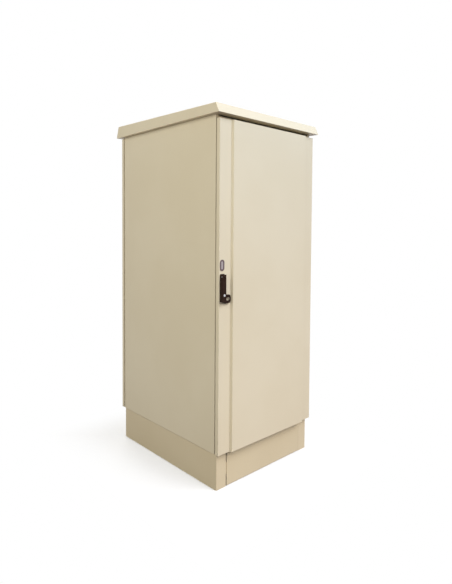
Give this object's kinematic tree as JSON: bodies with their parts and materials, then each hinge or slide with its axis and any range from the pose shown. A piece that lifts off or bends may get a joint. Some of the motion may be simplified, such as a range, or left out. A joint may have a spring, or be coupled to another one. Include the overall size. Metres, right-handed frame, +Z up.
{
  "type": "outdoor rack cabinet",
  "caption": "Free-standing outdoor rack cabinet of folded sheet steel with an overhanging roof, a plinth, one hinged door with a swing-handle rod lock, and square-hole rack rails.",
  "frame": {"origin": "on the ground, under the middle of the cabinet", "axes": "+Z up, the door faces -Y, +X is to the right seen from the front"},
  "size_m": [0.855, 1.029, 2.1091],
  "materials": {
    "cream_paint": "satin powder coat",
    "zinc_steel": "zinc plated",
    "black_coat": "satin black",
    "chrome": "polished",
    "satin_aluminium": "satin",
    "black_rubber": "matt foam",
    "guide_plastic": "matt"
  },
  "bodies": {
    "cabinet": {"plinth_side_left": "cream_paint", "plinth_side_right": "cream_paint", "plinth_front_cover": "cream_paint", "plinth_rear_cover": "cream_paint", "base_frame": "cream_paint", "gland_plate": "zinc_steel", "cable_grommets": "black_rubber", "gland_screws": "zinc_steel", "front_post_left": "cream_paint", "front_post_right": "cream_paint", "rear_post_left": "cream_paint", "rear_post_right": "cream_paint", "top_frame": "cream_paint", "side_panel_left": "cream_paint", "side_panel_right": "cream_paint", "rear_panel": "cream_paint", "rear_gasket": "black_rubber", "rear_bolts": "zinc_steel", "roof": "cream_paint", "roof_bearer_left": "zinc_steel", "roof_bearer_right": "zinc_steel", "roof_bolts": "zinc_steel", "front_rail_left": "zinc_steel", "front_rail_right": "zinc_steel", "rear_rail_left": "zinc_steel", "rear_rail_right": "zinc_steel", "depth_bar_left_bottom": "zinc_steel", "depth_bar_left_middle": "zinc_steel", "depth_bar_left_top": "zinc_steel", "depth_bar_right_bottom": "zinc_steel", "depth_bar_right_middle": "zinc_steel", "depth_bar_right_top": "zinc_steel", "hinge_arm_bottom": "zinc_steel", "hinge_arm_middle": "zinc_steel", "hinge_arm_top": "zinc_steel", "hinge_pin_bottom": "zinc_steel", "hinge_pin_middle": "zinc_steel", "hinge_pin_top": "zinc_steel"},
    "door": {"door_skin": "cream_paint", "door_inner_frame": "cream_paint", "door_gasket": "black_rubber", "hinge_leaf_bottom": "zinc_steel", "hinge_leaf_middle": "zinc_steel", "hinge_leaf_top": "zinc_steel", "lock_base": "black_coat", "oval_plate": "satin_aluminium", "lock_case": "zinc_steel", "lock_screws": "zinc_steel", "rod_guides": "guide_plastic"},
    "hub": {"handle_hub": "black_coat", "pivot_pin": "zinc_steel", "lock_spindle": "zinc_steel", "lock_pinion": "zinc_steel"},
    "lever": {"handle_lever": "black_coat", "key_cylinder": "chrome"},
    "plug": {"key_plug": "chrome"},
    "upper_rod": {"upper_lock_rod": "zinc_steel"},
    "lower_rod": {"lower_lock_rod": "zinc_steel"}
  },
  "joints": [
    {"name": "door_swing", "type": "hinge", "parent": "cabinet", "child": "door", "pos_m": [0.392, -0.479, 1.106], "axis": [0, 0, 1], "range_deg": [0, 110]},
    {"name": "handle_turn", "type": "hinge", "parent": "door", "child": "hub", "pos_m": [-0.379, -0.4993, 1.172], "axis": [0, 1, 0], "range_deg": [0, 90]},
    {"name": "handle_lift", "type": "hinge", "parent": "hub", "child": "lever", "pos_m": [-0.379, -0.5073, 1.172], "axis": [-1, 0, 0], "range_deg": [0, 45]},
    {"name": "key_turn", "type": "hinge", "parent": "lever", "child": "plug", "pos_m": [-0.379, -0.51, 1.073], "axis": [0, 1, 0], "range_deg": [0, 90]},
    {"name": "upper_rod_slide", "type": "slide", "parent": "door", "child": "upper_rod", "axis": [0, 0, -1], "range_m": [0, 0.0142]},
    {"name": "lower_rod_slide", "type": "slide", "parent": "door", "child": "lower_rod", "axis": [0, 0, 1], "range_m": [0, 0.0142]}
  ],
  "couplings": [
    {"joint": "upper_rod_slide", "follows": "handle_turn", "m_per_rad": 0.009},
    {"joint": "lower_rod_slide", "follows": "handle_turn", "m_per_rad": 0.009}
  ]
}
